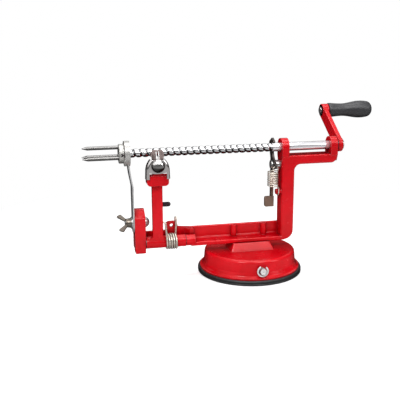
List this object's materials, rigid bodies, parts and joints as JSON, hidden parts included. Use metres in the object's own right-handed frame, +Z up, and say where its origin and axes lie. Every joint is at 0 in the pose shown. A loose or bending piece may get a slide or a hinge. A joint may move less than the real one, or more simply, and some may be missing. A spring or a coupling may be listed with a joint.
{
  "type": "apple peeler",
  "caption": "Hand cranked apple peeler on a round suction base, with a threaded drive screw, fruit fork, sprung peeling arm, coring blade and folding crank handle.",
  "frame": {"origin": "centre of the suction pad's underside, on the table", "axes": "+X along the drive screw from the fork to the crank, +Y away from the peeling side, +Z up"},
  "size_m": [0.3117, 0.1068, 0.1616],
  "materials": {
    "red_enamel": "gloss",
    "black_rubber": "matte",
    "black_plastic": "matte",
    "bright_chrome": "polished",
    "zinc_steel": "satin",
    "spring_steel": "satin",
    "stainless_blade": "satin",
    "dark_steel": "satin",
    "tan_zinc": "satin"
  },
  "bodies": {
    "frame": {"suction_pad": "black_rubber", "base_cover": "red_enamel", "frame_casting": "red_enamel", "frame_screws": "zinc_steel", "pivot_rod": "zinc_steel", "arm_spring": "spring_steel", "latch_pivot_bolt": "zinc_steel", "latch_spacer": "zinc_steel", "latch_spring": "spring_steel", "carriage_bolt": "zinc_steel", "bolt_washer": "zinc_steel"},
    "lever": {"cam_shaft": "zinc_steel", "suction_lever": "red_enamel", "e_clip": "zinc_steel"},
    "pad_post": {"pad_post": "zinc_steel"},
    "carrier": {"thrust_washer": "zinc_steel"},
    "drive": {"drive_screw": "bright_chrome", "fork_hub": "bright_chrome", "fork_prongs": "bright_chrome", "fork_set_screw": "zinc_steel", "crank_arm": "red_enamel", "crank_screw": "zinc_steel", "handle_rivet": "zinc_steel"},
    "crank_handle": {"crank_handle": "black_plastic"},
    "thread_latch": {"thread_latch": "dark_steel"},
    "peeler_arm": {"peeler_arm": "red_enamel", "arm_tab": "dark_steel", "tab_rivet": "dark_steel", "blade_hood": "bright_chrome", "peeler_blade": "stainless_blade", "blade_screw": "bright_chrome"},
    "corer": {"corer_blade": "stainless_blade"},
    "wing_nut": {"wing_nut": "tan_zinc"}
  },
  "joints": [
    {"name": "lever_turn", "type": "hinge", "parent": "frame", "child": "lever", "pos_m": [0, 0, 0.0132], "axis": [0, 1, 0], "range_deg": [-180, 0]},
    {"name": "pad_lift", "type": "slide", "parent": "frame", "child": "pad_post", "axis": [0, 0, 1], "range_m": [0, 0.00301], "deforming": ["suction_pad"]},
    {"name": "screw_travel", "type": "slide", "parent": "frame", "child": "carrier", "axis": [1, 0, 0], "range_m": [0, 0.1271]},
    {"name": "crank_turn", "type": "hinge", "parent": "carrier", "child": "drive", "pos_m": [0, 0, 0.124], "axis": [1, 0, 0], "range_deg": [0, 7200]},
    {"name": "handle_spin", "type": "hinge", "parent": "drive", "child": "crank_handle", "pos_m": [0.11, 0.04579, 0.15262], "axis": [1, 0, 0], "continuous": true},
    {"name": "latch_rock", "type": "hinge", "parent": "frame", "child": "thread_latch", "pos_m": [0.024, 0.001, 0.1065], "axis": [1, 0, 0], "range_deg": [-8, 0], "stiffness_Nm_per_rad": 0.138, "springref_deg": 13.75, "deforming": ["latch_spring"]},
    {"name": "arm_swing", "type": "hinge", "parent": "frame", "child": "peeler_arm", "pos_m": [-0.086, -0.0037, 0.036], "axis": [1, 0, 0], "range_deg": [0, 55], "stiffness_Nm_per_rad": 0.5, "springref_deg": -57.3, "deforming": ["arm_spring"]},
    {"name": "corer_slide", "type": "slide", "parent": "frame", "child": "corer", "axis": [0, 0, 1], "range_m": [-0.0015, 0.0015]},
    {"name": "wing_nut_turn", "type": "hinge", "parent": "frame", "child": "wing_nut", "pos_m": [-0.121, 0, 0.056], "axis": [1, 0, 0], "continuous": true}
  ],
  "couplings": [
    {"joint": "pad_lift", "follows": "lever_turn", "m_per_rad": -0.00095493},
    {"joint": "screw_travel", "follows": "crank_turn", "m_per_rad": 0.0010106}
  ]
}
